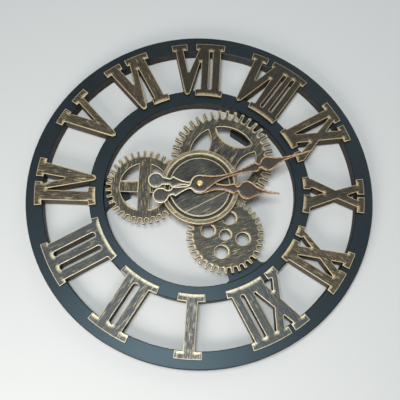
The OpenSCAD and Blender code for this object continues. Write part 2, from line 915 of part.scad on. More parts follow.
third_phase = mesh_phase(third_dir, centre_n, third_pinion_n, 0);
fourth_phase = mesh_phase(fourth_dir, third_n, fourth_pinion_n, 0);
motion_phase = mesh_phase(motion_dir, cannon_n, motion_n, 0);
hour_phase = mesh_phase(motion_dir + 180, motion_pinion_n, hour_n, 0);

// Arbor from height z into the front plate
module arbor(z, r) {
  rod(z, plate_in + pivot_in - z, r, $fn = 32);
}

module pinion(z, t) {
  plate(z - pinion_over / 2, t + pinion_over) children();
}

module minute_wheel() {
  color(wheel_c) hung() {
    rod(arbor_bottom, minute_z - arbor_bottom, arbor_r, $fn = 48);
    rod(minute_z, cap_z + cap_h - cap_roof - minute_z, tip_r, $fn = 32);
    plate(centre_z, wheel_t) wheel_flat(train_m, centre_n, 0);
    pinion(motion_wheel_z, motion_t) wheel_flat(cannon_m, cannon_n, 0);
  }
}

module hour_wheel() {
  color(wheel_c) hung() difference() {
    union() {
      plate(hour_wheel_z, motion_t) wheel_flat(hour_m, hour_n, hour_phase);
      rod(hour_wheel_z, tube_top - hour_wheel_z, tube_r, $fn = 48);
    }
    rod(hour_wheel_z - over, tube_top, tube_in_r, $fn = 48);
  }
}

module motion_wheel() {
  color(wheel_c) hung() translate(motion_at) {
    arbor(knob_z + knob_t, small_arbor_r);
    plate(motion_wheel_z, motion_t) wheel_flat(cannon_m, motion_n, motion_phase);
    pinion(hour_wheel_z, motion_t) wheel_flat(hour_m, motion_pinion_n, 0);
  }
}

module third_wheel() {
  color(wheel_c) hung() translate(third_at) {
    arbor(cover_in + boss_floor + foot_gap, fine_arbor_r);
    plate(third_z, wheel_t) wheel_flat(fine_m, third_n, 0);
    pinion(centre_z, wheel_t) wheel_flat(train_m, third_pinion_n, third_phase);
  }
}

module fourth_wheel() {
  color(wheel_c) hung() translate(fourth_at) {
    arbor(cover_in + boss_floor + foot_gap, fine_arbor_r);
    plate(fourth_z, wheel_t) wheel_flat(fine_m, fourth_n, 0);
    pinion(third_z, wheel_t) wheel_flat(fine_m, fourth_pinion_n, fourth_phase);
  }
}

module rotor() {
  color(steel_c) hung() translate(rotor_at) {
    arbor(cover_in + rotor_boss_floor + rotor_foot_gap, fine_arbor_r);
    rod(rotor_z, rotor_t, rotor_r, $fn = 48);
  }
}

module core_flat() {
  left = coil_at[0] - coil_len / 2 - core_out;
  translate([left, core_y]) square([core_leg_x + core_w - left, core_w]);
}

module stator() {
  color(steel_c) hung() {
    plate(stator_z, stator_t) difference() {
      translate([stator_left, stator_low])
        square([stator_right - stator_left, stator_high - stator_low]);
      translate([stator_left + stator_arm, stator_low + stator_arm])
        square([stator_pole_x - stator_left - stator_arm,
          stator_high - stator_low - 2 * stator_arm]);
      translate(rotor_at) circle(rotor_r + stator_gap, $fn = 48);
      for (p = [third_at, fourth_at]) translate(p) circle(boss_r + free_gap, $fn = 32);
    }
    plate(stator_z + stator_t, core_z - stator_z - stator_t)
      translate([core_leg_x, core_y]) square(core_w);
    plate(core_z, core_h) core_flat();
  }
}

module coil() {
  color(copper_c) hung() difference() {
    translate([coil_at[0] - coil_len / 2, coil_at[1], coil_z]) rotate([0, 90, 0]) {
      cylinder(h = coil_len, r = coil_r, $fn = 48);
      for (x = [0, coil_len - coil_flange_t]) translate([0, 0, x])
        cylinder(h = coil_flange_t, r = coil_r + coil_flange, $fn = 48);
    }
    plate(core_z, core_h) core_flat();
  }
}

module circuit_board() {
  color(board_c) hung() {
    plate(board_z, board_t) translate(board_at) square([board_w, board_h], center = true);
    translate([board_at[0], board_at[1] + blob_y, board_z + board_t])
      scale([1, 1, blob_flat]) difference() {
        sphere(r = blob_r, $fn = 32);
        translate([0, 0, -2 * blob_r]) cube(4 * blob_r, center = true);
      }
  }
}

module crystal() {
  color(steel_c) hung()
    translate([board_at[0] + crystal_shift[0], board_at[1] + crystal_shift[1],
      board_z + board_t + crystal_r])
      rotate([-90, 0, 0]) cylinder(h = crystal_len, r = crystal_r, $fn = 32);
}

module battery() {
  color(battery_c) hung() translate([battery_x, battery_y, battery_z]) rotate([0, 90, 0]) {
    translate([0, 0, -battery_len / 2]) cylinder(h = battery_len, r = battery_r);
    translate([0, 0, battery_len / 2])
      cylinder(h = battery_nub_len, r = battery_nub_r, $fn = 32);
  }
}

module contact(x) {
  translate([x, battery_y - contact_w / 2, battery_z - contact_w / 2])
    cube([contact_t, contact_w, contact_w]);
}

module contact_plus() {
  color(steel_c) hung() contact(bay_end - contact_t);
}

module contact_minus() {
  spring_x = contact_t - bay_end;
  color(steel_c) hung() {
    contact(-bay_end);
    translate([spring_x, battery_y, battery_z]) rotate([0, 90, 0])
      cylinder(h = spring_len, r1 = spring_r, r2 = spring_tip_r, $fn = 32);
  }
}

module setting_knob() {
  color(wheel_c) hung() translate(motion_at) plate(knob_z, knob_t) difference() {
    circle(knob_r, $fn = 48);
    for (k = [0 : knob_grooves - 1]) rotate(k * 360 / knob_grooves)
      translate([knob_r + knob_groove_r / 2, 0]) circle(knob_groove_r, $fn = 16);
  }
}

// Hands

function outline(blade, tail) = concat(
  [for (p = smooth(blade)) [p[1], p[0]]],
  [for (p = reversed(smooth(blade))) [-p[1], p[0]]],
  [for (p = smooth(tail)) [-p[1], -p[0]]],
  [for (p = reversed(smooth(tail))) [p[1], -p[0]]]);

module hand_flat(blade, tail, weight) {
  polygon(outline(blade, tail));
  circle(hub_r);
  translate([0, -weight]) circle(weight_r, $fn = 64);
}

module hand(z, angle, blade, tail, weight, hole_r) {
  hung() rotate(-angle) difference() {
    plate(z, hub_t) hand_flat(blade, tail, weight);
    difference() {
      plate(z + hand_t, rim_t + over) offset(delta = -rim_w) hand_flat(blade, tail, weight);
      plate(z, hub_t + 2 * over) circle(hole_r + hub_hole_rim, $fn = 48);
    }
    plate(z - over, hub_t + 2 * over) circle(hole_r, $fn = 48);
  }
}

module hour_hand() {
  color(hand_c) hand(hour_z, hour_angle, hour_blade, hour_tail, hour_weight, tube_r);
}

module minute_hand() {
  color(hand_c) hand(minute_z, minute_angle, minute_blade, minute_tail, minute_weight, tip_r);
}

module cap_nut() {
  color(brass_c) hung() difference() {
    union() {
      rod(cap_z, cap_h - cap_bevel_h, cap_r, $fn = 48);
      translate([0, 0, cap_z + cap_h - cap_bevel_h])
        cylinder(h = cap_bevel_h, r1 = cap_r, r2 = cap_r - cap_bevel, $fn = 48);
    }
    rod(cap_z - over, cap_h + over - cap_roof, tip_r, $fn = 32);
  }
}

// Hanging plate

module hanger() {
  color(steel_c) hung() plate(0, hanger_t) difference() {
    translate([-hanger_w / 2, hanger_mid - hanger_h / 2]) square([hanger_w, hanger_h]);
    keyhole();
    for (s = [-1, 1]) translate([s * hanger_screw_x, hanger_mid]) circle(screw_r, $fn = 16);
  }
}

module hanger_screws() {
  color(steel_c) hung() hanger_screw_rods(0);
}

outer_ring();
inner_ring();
numeral_i();
numeral_ii();
numeral_iii();
numeral_iv();
numeral_v();
numeral_vi();
numeral_vii();
numeral_viii();
numeral_ix();
numeral_x();
numeral_xi();
numeral_xii();
numeral_screws();
gear_top();
gear_left();
gear_right();
gear_spacers();
gear_screws();
centre_spacer();
centre_disc();
disc_screws();
gasket();
movement_case();
movement_cover();
bush();
bush_washer();
bush_nut();
minute_wheel();
hour_wheel();
motion_wheel();
third_wheel();
fourth_wheel();
rotor();
stator();
coil();
circuit_board();
crystal();
battery();
contact_plus();
contact_minus();
setting_knob();
hour_hand();
minute_hand();
cap_nut();
hanger();
hanger_screws();
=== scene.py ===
"""Gear wall clock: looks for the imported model, in metres, in the row frame.

The hanging point is the origin. The clock face looks along -Y, XII is up (+Z) and III is +X.
"""

import json
from math import cos, hypot, pi, radians, sin

import bmesh
import bpy
import numpy as np
from mathutils import Matrix, Vector
from mathutils.geometry import delaunay_2d_cdt


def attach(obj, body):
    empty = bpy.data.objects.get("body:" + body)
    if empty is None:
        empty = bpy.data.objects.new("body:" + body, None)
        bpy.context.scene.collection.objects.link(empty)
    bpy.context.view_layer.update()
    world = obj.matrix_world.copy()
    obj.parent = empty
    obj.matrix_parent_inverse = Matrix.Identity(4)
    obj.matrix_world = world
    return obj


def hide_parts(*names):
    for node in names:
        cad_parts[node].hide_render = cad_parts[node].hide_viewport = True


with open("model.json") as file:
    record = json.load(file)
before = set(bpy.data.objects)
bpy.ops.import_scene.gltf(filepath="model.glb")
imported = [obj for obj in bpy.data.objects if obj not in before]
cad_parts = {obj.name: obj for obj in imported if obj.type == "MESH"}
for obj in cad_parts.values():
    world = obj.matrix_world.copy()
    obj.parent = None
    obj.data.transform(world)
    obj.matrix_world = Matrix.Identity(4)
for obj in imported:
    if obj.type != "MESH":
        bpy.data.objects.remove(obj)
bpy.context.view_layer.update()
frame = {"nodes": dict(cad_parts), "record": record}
nodes = frame["nodes"]

MM = 0.001
CENTRE = Vector((0.0, 0.0, -0.193))  # the clock's axis on the wall plane

# The centre disc, in millimetres: its sunk face, its groove, its rim and its scribed line
FACE_R = 35.0
GROOVE_R = 38.0
DISC_R = 44.0
CHORD = 19.0

# Meshes: vertices closer than WELD are one, faces of one level lie within LEVEL_STEP
WELD = 2e-6
LEVEL_STEP = 0.02 * MM
FLAT_ANGLE = radians(0.4)
CORNER_ANGLE = radians(35)
SHARP_ANGLE = radians(34)
TOOTH_ROUND = 0.7 * MM

NUMERALS = ["i", "ii", "iii", "iv", "v", "vi", "vii", "viii", "ix", "x", "xi", "xii"]


# Colours and nodes


def rgb(r, g, b):
    """A colour from its 0 to 255 values, as Blender wants it."""
    out = []
    for value in (r, g, b):
        c = value / 255
        out.append(c / 12.92 if c <= 0.04045 else ((c + 0.055) / 1.055) ** 2.4)
    return (*out, 1.0)


class Material:
    """A node material with short calls for the nodes used here."""

    def __init__(self, name, metallic=0.0, roughness=0.5):
        self.mat = bpy.data.materials.new(name)
        self.mat.use_nodes = True
        self.tree = self.mat.node_tree
        self.shader = self.tree.nodes["Principled BSDF"]
        self.shader.inputs["Metallic"].default_value = metallic
        self.shader.inputs["Roughness"].default_value = roughness

    def put(self, value, socket):
        if isinstance(value, bpy.types.NodeSocket):
            self.tree.links.new(value, socket)
        else:
            socket.default_value = value

    def node(self, kind, props=None, **values):
        n = self.tree.nodes.new(kind)
        for key, value in (props or {}).items():
            setattr(n, key, value)
        for key, value in values.items():
            self.put(value, n.inputs[key.replace("_", " ")])
        return n

    def place(self):
        """Object coordinates in millimetres."""
        co = self.node("ShaderNodeTexCoord").outputs["Object"]
        return self.vector("MULTIPLY", co, (1000, 1000, 1000))

    def attribute(self, name, kind="Fac"):
        return self.node("ShaderNodeAttribute", {"attribute_name": name}).outputs[kind]

    def vector(self, operation, a, b):
        n = self.tree.nodes.new("ShaderNodeVectorMath")
        n.operation = operation
        self.put(a, n.inputs[0])
        self.put(b, n.inputs[1])
        return n.outputs["Vector"]

    def maths(self, operation, a, b=0.0):
        n = self.tree.nodes.new("ShaderNodeMath")
        n.operation = operation
        self.put(a, n.inputs[0])
        self.put(b, n.inputs[1])
        return n.outputs[0]

    def noise(self, vector, scale=1.0, detail=3.0, stretch=None, rough=0.55):
        if stretch:
            vector = self.vector("MULTIPLY", vector, stretch)
        n = self.node("ShaderNodeTexNoise", None, Vector=vector, Scale=scale, Detail=detail,
                      Roughness=rough)
        return n.outputs["Fac"]

    def blend(self, *terms):
        """The sum of noises, each taken about its middle and times its weight."""
        total = 0.0
        for value, weight, *middle in terms:
            centred = self.maths("SUBTRACT", value, middle[0] if middle else 0.5)
            total = self.maths("ADD", self.maths("MULTIPLY", centred, weight), total)
        return total

    def mix_value(self, amount, a, b):
        n = self.node("ShaderNodeMix", {"data_type": "FLOAT"})
        self.put(amount, n.inputs[0])
        self.put(a, n.inputs[2])
        self.put(b, n.inputs[3])
        return n.outputs[0]

    def ramp(self, value, low, high, start=0.0, end=1.0):
        """A smooth step from start at low to end at high."""
        n = self.node("ShaderNodeMapRange", {"interpolation_type": "SMOOTHSTEP"}, Value=value)
        for key, number in (("From Min", low), ("From Max", high), ("To Min", start),
                            ("To Max", end)):
            n.inputs[key].default_value = number
        return n.outputs[0]

    def mix(self, amount, a, b):
        n = self.node("ShaderNodeMix", {"data_type": "RGBA"})
        self.put(amount, n.inputs[0])
        self.put(a, n.inputs[6])
        self.put(b, n.inputs[7])
        return n.outputs[2]

    def radius(self, vector, centre):
        """The distance in millimetres from an axis through centre, along Y."""
        flat = self.vector("MULTIPLY", self.vector("SUBTRACT", vector, centre), (1, 0, 1))
        n = self.tree.nodes.new("ShaderNodeVectorMath")
        n.operation = "LENGTH"
        self.put(flat, n.inputs[0])
        return n.outputs["Value"]

    def bump(self, height, strength, distance=0.1):
        n = self.node("ShaderNodeBump", None, Height=height, Strength=strength,
                      Distance=distance * MM)
        self.put(n.outputs["Normal"], self.shader.inputs["Normal"])

    def set(self, socket, value):
        self.put(value, self.shader.inputs[socket])

    def colour(self, value):
        self.set("Base Color", value)
        return self.mat


GOLD = rgb(222, 210, 178)
GOLD_OLD = rgb(144, 132, 102)
WARM_GOLD = rgb(208, 190, 150)
# Dark tones for the scratches, also used as painted shade on the numerals in weak light
SOOT_AND_SHADE = rgb(38, 40, 39)
WARM_SOOT_AND_SHADE = rgb(30, 26, 20)
WALL_BROWN = rgb(42, 32, 22)
WALL_GOLD = rgb(128, 104, 70)


def bronze(name, slate, olive, soot_and_shade, bright, contrast, halo):
    """Dark paint in two tones with fine gold scratches, dry-brushed where the brush came over
    an edge. contrast is how strong the scratches are, halo the width in millimetres of the
    rubbed zone beside an edge."""
    m = Material(name)
    flow = m.attribute("flow", "Vector")
    edge = m.attribute("edge")
    depth = m.attribute("depth")
    cloud = m.noise(flow, 0.07, 3, (1, 0.6, 1))
    smudge = m.noise(flow, 0.2, 4, (1, 0.35, 1), 0.6)
    stroke = m.noise(flow, 0.7, 3, (1, 0.1, 1), 0.6)
    hair = m.noise(flow, 1.4, 3, (1, 0.08, 1), 0.7)
    rub_and_light = m.attribute("rub_and_light")
    grain = m.noise(flow, 0.8, 3, None, 0.7)
    tone = m.blend((stroke, 0.5), (hair, 1.0), (grain, 0.6))
    face = m.mix(m.ramp(cloud, 0.38, 0.62), slate, olive)
    face = m.mix(m.ramp(tone, 0.0, -0.17, 0.0, 0.8 * contrast), face, soot_and_shade)
    face = m.mix(m.ramp(tone, 0.03, 0.22, 0.0, 0.6 * contrast), face, GOLD_OLD)
    # Painted light: a rub value above 0 adds gold to the numerals in the brightest light
    wear = m.blend((hair, 0.8), (smudge, 0.8), (stroke, 0.9), (rub_and_light, 1.0, 0.0))
    # Painted shade: a rub value below 0 darkens the numerals that lay in weak light
    face = m.mix(m.ramp(rub_and_light, 0.0, -0.2, 0.0, 0.8), face, soot_and_shade)
    gold = m.ramp(wear, 0.1, 0.42, 0.0, 0.7 * contrast)
    brushed = m.maths("MULTIPLY", m.ramp(m.attribute("catch"), 0.3, 0.9),
                      m.ramp(edge, 1.0, halo, 1.0, 0.0))
    brushed = m.maths("MULTIPLY", brushed, m.ramp(hair, 0.3, 0.55, 0.25, 0.9))
    gold = m.maths("MAXIMUM", gold, brushed)
    ragged = m.maths("ADD", edge, m.blend((hair, 0.7)))
    thin = m.ramp(smudge, 0.3, 0.55, 0.75, 1.0)
    rim = m.maths("MULTIPLY", m.ramp(ragged, 0.4, 0.96, 1.0, 0.0), thin)
    gold = m.maths("MAXIMUM", gold, rim)
    # Painted shade: the gold fades on the numerals that lay in weak light
    gold = m.maths("MULTIPLY", gold, m.ramp(rub_and_light, 0.0, -0.2, 1.0, 0.7))
    face = m.mix(gold, face, bright)
    side = m.mix(m.ramp(m.noise(m.place(), 0.4, 3), 0.35, 0.65), WALL_BROWN, rgb(68, 52, 34))
    side = m.mix(m.ramp(depth, 0.4, 1.2, 0.8, 0.0), side, WALL_GOLD)
    wall = m.ramp(depth, 0.3, 0.6)
    m.set("Specular IOR Level", 0.25)
    m.set("Metallic", m.mix_value(wall, m.ramp(gold, 0.0, 1.0, 0.05, 0.3), 0.0))
    m.set("Roughness", m.ramp(depth, 0.3, 0.6, 0.4, 0.75))
    m.bump(m.blend((hair, 1.0), (grain, 0.6)), 0.35, 0.2)
    return m.colour(m.mix(wall, face, side))


def ring_paint():
    """Satin blue-black paint with a blue lustre, brown on the cut walls."""
    m = Material("ring_paint")
    m.set("Specular Tint", rgb(208, 240, 255))
    m.set("Specular IOR Level", 0.35)
    at = m.place()
    cloud = m.noise(at, 0.03, 3)
    grain = m.noise(at, 1.3, 3)
    base = m.mix(m.ramp(cloud, 0.3, 0.7), rgb(10, 12, 14), rgb(17, 21, 24))
    base = m.mix(m.ramp(grain, 0.4, 0.75, 0.0, 0.3), base, rgb(32, 38, 42))
    side = m.mix(m.ramp(m.noise(at, 0.15, 3), 0.35, 0.65), rgb(26, 24, 22), rgb(54, 42, 30))
    normal = m.node("ShaderNodeTexCoord").outputs["Normal"]
    lean = m.node("ShaderNodeSeparateXYZ", None, Vector=normal).outputs["Y"]
    base = m.mix(m.ramp(lean, -0.7, -0.4), base, side)
    m.set("Roughness", m.ramp(lean, -0.7, -0.4, 0.36, 0.8))
    m.bump(grain, 0.3, 0.12)
    return m.colour(base)


def hand_paint():
    """Dark olive lacquer inside a rounded rim, which is copper on the blades and turns to cream
    on the tails. The paler tails, slate faces and cream rims, are partly painted highlight and
    sheen."""
    m = Material("hand_metal", roughness=0.32)
    flow = m.attribute("flow", "Vector")
    along = m.node("ShaderNodeSeparateXYZ", None, Vector=flow).outputs["Y"]
    wear = m.noise(flow, 0.3, 4)
    fine = m.noise(flow, 2.0, 3, (1, 0.3, 1))
    face = m.mix(m.ramp(wear, 0.35, 0.7), rgb(36, 28, 19), rgb(56, 44, 31))
    # Partly painted sheen: the tail weights turn slate, the hour hand's fully and the minute
    # hand's a quarter
    tail = m.mix(m.ramp(wear, 0.35, 0.7), rgb(54, 56, 53), rgb(88, 92, 88))
    face = m.mix(m.maths("MULTIPLY", m.ramp(along, -38.0, -44.0), m.attribute("rub_and_light")), face, tail)
    face = m.mix(m.ramp(fine, 0.55, 0.8, 0.0, 0.3), face, rgb(128, 106, 78))
    copper = m.mix(m.ramp(wear, 0.3, 0.7), rgb(138, 106, 76), rgb(198, 162, 122))
    # Partly painted highlight: the rim turns cream towards the tails
    pale = m.mix(m.ramp(fine, 0.3, 0.7), rgb(176, 164, 136), rgb(226, 216, 188))
    line = m.mix(m.ramp(along, -8.0, 14.0), pale, copper)
    side = m.mix(m.ramp(m.attribute("depth"), 0.5, 1.0), line, rgb(70, 52, 36))
    m.set("Metallic", m.ramp(m.attribute("sunk"), 0.0, 1.0, 0.4, 0.1))
    m.bump(m.noise(flow, 1.1, 3), 0.25, 0.12)
    return m.colour(m.mix(m.attribute("sunk"), side, face))


def disc_paint():
    """The centre disc: brushed slate face, dark groove, gold rims."""
    m = Material("disc_bronze", metallic=0.1, roughness=0.42)
    m.set("Specular IOR Level", 0.25)
    flow = m.attribute("flow", "Vector")
    at = m.place()
    r = m.radius(at, tuple(CENTRE * 1000))
    brush = m.noise(flow, 0.8, 5, (1, 0.07, 1), 0.6)
    fine = m.noise(flow, 2.2, 3, (1, 0.05, 1))
    patch = m.noise(flow, 0.05, 3)
    across = m.node("ShaderNodeSeparateXYZ", None, Vector=flow).outputs["X"]
    wear = m.maths("ADD", brush, m.maths("MULTIPLY", m.maths("SUBTRACT", fine, 0.5), 0.6))
    wear = m.maths("ADD", wear, m.maths("MULTIPLY", m.maths("SUBTRACT", patch, 0.5), 0.5))
    # Painted light: the face gets more gold and lighter towards XII, the side where the light
    # fell
    inner = m.maths("ADD", wear, m.ramp(across, -24.0, 6.0, 0.06, -0.06))
    face = m.mix(m.ramp(inner, 0.32, 0.55), rgb(34, 36, 35), rgb(70, 70, 64))
    face = m.mix(m.ramp(inner, 0.54, 0.8, 0.0, 0.9), face, rgb(146, 138, 112))
    off = m.maths("ABSOLUTE", m.maths("ADD", across, CHORD))
    face = m.mix(m.ramp(off, 0.15, 0.7, 0.85, 0.0), face, rgb(196, 184, 150))
    ring = m.mix(m.ramp(wear, 0.3, 0.55), rgb(70, 66, 52), rgb(128, 116, 86))
    ring = m.mix(m.ramp(wear, 0.54, 0.8), ring, GOLD)
    worn = m.maths("ADD", r, m.maths("MULTIPLY", m.maths("SUBTRACT", fine, 0.5), 0.9))
    base = m.mix(m.ramp(r, GROOVE_R - 0.4, GROOVE_R + 0.4), rgb(52, 50, 42), ring)
    base = m.mix(m.ramp(r, FACE_R + 0.2, FACE_R + 0.5), face, base)
    for middle, half in ((FACE_R - 0.6, 0.9), (GROOVE_R + 1.4, 0.9), (DISC_R, 1.0)):
        gap = m.maths("ABSOLUTE", m.maths("SUBTRACT", worn, middle))
        base = m.mix(m.ramp(gap, half * 0.5, half, 0.9, 0.0), base, GOLD)
    depth = m.attribute("depth")
    side = m.mix(m.ramp(m.noise(at, 0.5, 3), 0.35, 0.65), WALL_BROWN, rgb(96, 78, 54))
    side = m.mix(m.ramp(depth, 0.8, 3.0, 0.9, 0.0), side, WALL_GOLD)
    wall = m.maths("MULTIPLY", m.ramp(depth, 0.6, 1.0), m.ramp(r, DISC_R - 0.1, DISC_R + 0.3))
    m.bump(m.maths("ADD", brush, m.maths("MULTIPLY", fine, 0.5)), 0.35, 0.2)
    return m.colour(m.mix(wall, base, side))


def plain(name, a, b, metallic, roughness, scale, stretch=None, bump=0.2, spots=None):
    """A moulded or rolled material: two close tones in a fine grain, with its own bump."""
    m = Material(name, metallic=metallic, roughness=roughness)
    at = m.place()
    grain = m.noise(at, scale, 4, stretch)
    base = m.mix(m.ramp(grain, 0.35, 0.65), rgb(*a), rgb(*b))
    cloud = m.noise(at, 0.06, 2)
    base = m.mix(m.ramp(cloud, 0.35, 0.7, 0.0, 0.3), base, rgb(*a))
    if spots:
        base = m.mix(m.ramp(m.noise(at, scale * 0.4, 3), 0.6, 0.75), base, rgb(*spots))
    m.bump(grain, bump, 0.1)
    return m.colour(base)


# Dressed pieces: the CAD forms with rounded front edges and worn paint

# How far in and how deep a rounded edge of size 1 is at its rows of points
ROUND = [(1 - cos(t), 1 - sin(t)) for t in (radians(a) for a in (0, 30, 60, 90))]
BATCH = 2000  # points measured at once, to bound the memory
FAR = (999.0, 999.0)  # stands for the border of a level that has none
DOME_REACH = 5  # millimetres from its border over which a domed face rises


def front(face):
    return face.normal.y < -0.999


def from_border(points, starts, ends):
    """For each point the way to it from the nearest spot of the segments, all flat."""
    along = ends - starts
    length = np.maximum((along ** 2).sum(1), 1e-12)
    ways = np.empty_like(points)
    for s in range(0, len(points), BATCH):
        p = points[s:s + BATCH, None, :] - starts[None]
        t = np.clip((p * along[None]).sum(2) / length, 0, 1)
        gap = p - t[..., None] * along[None]
        nearest = (gap ** 2).sum(2).argmin(1)
        ways[s:s + BATCH] = gap[np.arange(len(gap)), nearest]
    return ways


def enclosed(points, starts, ends):
    """True for each point that lies inside the loops that the segments make."""
    inside = np.zeros(len(points), bool)
    for (x0, z0), (x1, z1) in zip(starts, ends):
        if z0 == z1:
            continue
        spans = (points[:, 1] > z0) != (points[:, 1] > z1)
        crossing = x0 + (points[:, 1] - z0) * (x1 - x0) / (z1 - z0)
        inside ^= spans & (points[:, 0] < crossing)
    return inside


def inset_loop(points, reach):
    """The points of a closed loop moved to its left by reach. Where the loop has no room for
    one of its edges any more, the points of that edge meet in one."""
    if reach == 0:
        return points.copy()
    count = len(points)
    ahead = np.roll(points, -1, 0) - points
    length = np.linalg.norm(ahead, axis=1, keepdims=True)
    way = ahead / np.maximum(length, 1e-9)
    left = np.stack([-way[:, 1], way[:, 0]], 1)
    held = length[:, 0] > 1e-3
    while True:
        kept = np.flatnonzero(held)
        out = np.empty_like(points)
        for before, after in zip(np.roll(kept, 1), kept):
            run = [(before + 1 + k) % count for k in range((after - before - 1) % count + 1)]
            turn = left[before, 0] * left[after, 1] - left[before, 1] * left[after, 0]
            if abs(turn) < 0.02:
                push = left[before] + left[after]
                out[run] = points[run].mean(0) + reach * push / np.linalg.norm(push)
                continue
            c0 = left[before] @ points[before] + reach
            c1 = left[after] @ points[after] + reach
            out[run] = ((c0 * left[after, 1] - c1 * left[before, 1]) / turn,
                        (c1 * left[before, 0] - c0 * left[after, 0]) / turn)
        gone = ((np.roll(out, -1, 0) - out) * way).sum(1) < 1e-4
        if not (gone & held).any() or held.sum() < 4:
            return out
        held &= ~gone


class Front:
    """One level of a piece's front faces, taken off the mesh and made again in flat
    millimetres: a rounded edge of a given size, then even triangles."""

    def __init__(self, bm, faces):
        self.bm = bm
        self.made = []
        self.level = faces[0].calc_center_median().y
        here = set(faces)
        self.convex = []
        following = {}
        for face in faces:
            for loop in face.loops:
                other = [f for f in loop.edge.link_faces if f not in here]
                if other:
                    following.setdefault(loop.vert, []).append(loop.link_loop_next.vert)
                    if other[0].calc_center_median().y > self.level:
                        self.convex.append((self.flat(loop.vert),
                                            self.flat(loop.link_loop_next.vert)))
        self.loops = []
        while following:
            start = next(iter(following))
            loop, at = [], start
            while at in following:
                loop.append(at)
                ways = following[at]
                step = ways.pop()
                if not ways:
                    del following[at]
                at = step
            self.loops.append(loop)
        border = self.convex or [(FAR, FAR)]
        self.starts, self.ends = (np.array(side) for side in zip(*border))
        bmesh.ops.delete(bm, geom=faces, context="FACES_ONLY")

    @staticmethod
    def flat(vert):
        return (vert.co.x / MM, vert.co.z / MM)

    def add(self, x, z, depth=0.0):
        vert = self.bm.verts.new((x * MM, self.level + depth * MM, z * MM))
        self.made.append(vert)
        return vert

    def ring(self, loop, reach, depth):
        """New vertices for a loop moved in by reach, one for each of its points."""
        spots = inset_loop(np.array([self.flat(v) for v in loop]), reach)
        known, verts = {}, []
        for x, z in spots:
            key = (round(x, 4), round(z, 4))
            if key not in known:
                known[key] = self.add(x, z, depth)
            verts.append(known[key])
        return verts

    def band(self, outer, inside):
        """Faces between two rows of points of one loop."""
        for k in range(len(outer)):
            j = (k + 1) % len(outer)
            corners = list(dict.fromkeys([outer[k], outer[j], inside[j], inside[k]]))
            if len(corners) > 2 and not self.bm.faces.get(corners):
                self.bm.faces.new(corners)

    def rebuild(self, size, margin, grid, dome=0.0):
        """The level with its edge rounded over size, or sharp where size is 0, then margin of
        flat rim, and triangles of about grid inside."""
        inner = []
        for loop in self.loops:
            last = self.ring(loop, 0, 0) if size == 0 else self.rounded(loop, size, margin)
            inner.append(list(dict.fromkeys(last)))
        if size:
            for v in {v for loop in self.loops for v in loop}:
                v.co.y = self.level + size * MM
        self.fill(inner, grid, dome)

    def rounded(self, loop, size, margin):
        rings = [loop] + [self.ring(loop, size * a, size * b) for a, b in ROUND[1:]]
        rings.append(self.ring(loop, size + margin, 0))
        for outer, inside in zip(rings, rings[1:]):
            self.band(outer, inside)
        return rings[-1]

    def fill(self, inner, grid, dome):
        """Triangles inside the loops, raised by dome away from the level's border."""
        verts = [v for loop in inner for v in loop]
        spots = np.array([self.flat(v) for v in verts])
        bounds, first = [], 0
        for loop in inner:
            bounds += [(first + k, first + (k + 1) % len(loop)) for k in range(len(loop))]
            first += len(loop)
        rim0 = spots[[a for a, _ in bounds]]
        rim1 = spots[[b for _, b in bounds]]
        added = np.zeros((0, 2))
        if grid:
            x, z = (np.arange(lo + grid / 2, hi, grid)
                    for lo, hi in zip(spots.min(0), spots.max(0)))
            added = np.stack(np.meshgrid(x, z), -1).reshape(-1, 2)
            added = added[enclosed(added, rim0, rim1)]
            gap = np.linalg.norm(from_border(added, rim0, rim1), axis=1)
            added = added[gap > grid * 0.35]
        every = [Vector(p) for p in np.concatenate([spots, added])]
        points, _, cells, origin, _, _ = delaunay_2d_cdt(every, bounds, [], 0, 1e-5, True)
        where = np.array([tuple(p) for p in points])
        middles = np.array([where[list(cell)].mean(0) for cell in cells])
        near = np.linalg.norm(from_border(where, self.starts, self.ends), axis=1)
        stand = []
        for k, sources in enumerate(origin):
            rims = [s for s in sources if s < len(verts)]
            if rims:
                stand.append(verts[rims[0]])
            else:
                lift = dome * (1 - (1 - min(near[k] / DOME_REACH, 1)) ** 2)
                stand.append(self.add(*where[k], -lift))
        for cell, good in zip(cells, enclosed(middles, rim0, rim1)):
            corners = [stand[k] for k in cell]
            if good and len(set(corners)) == 3 and not self.bm.faces.get(corners):
                self.bm.faces.new(corners)


def round_teeth(bm, centre, reach):
    """Rounds the upright outer edges that lie farther than reach from centre."""
    upright = [e for e in bm.edges if len(e.link_faces) == 2 and e.is_convex
               and abs((e.verts[0].co - e.verts[1].co).normalized().y) > 0.999
               and e.calc_face_angle() > CORNER_ANGLE
               and hypot(e.verts[0].co.x - centre.x, e.verts[0].co.z - centre.z) > reach]
    bmesh.ops.bevel(bm, geom=upright, offset=TOOTH_ROUND, offset_type="OFFSET", segments=3,
                    profile=0.5, affect="EDGES", clamp_overlap=True)


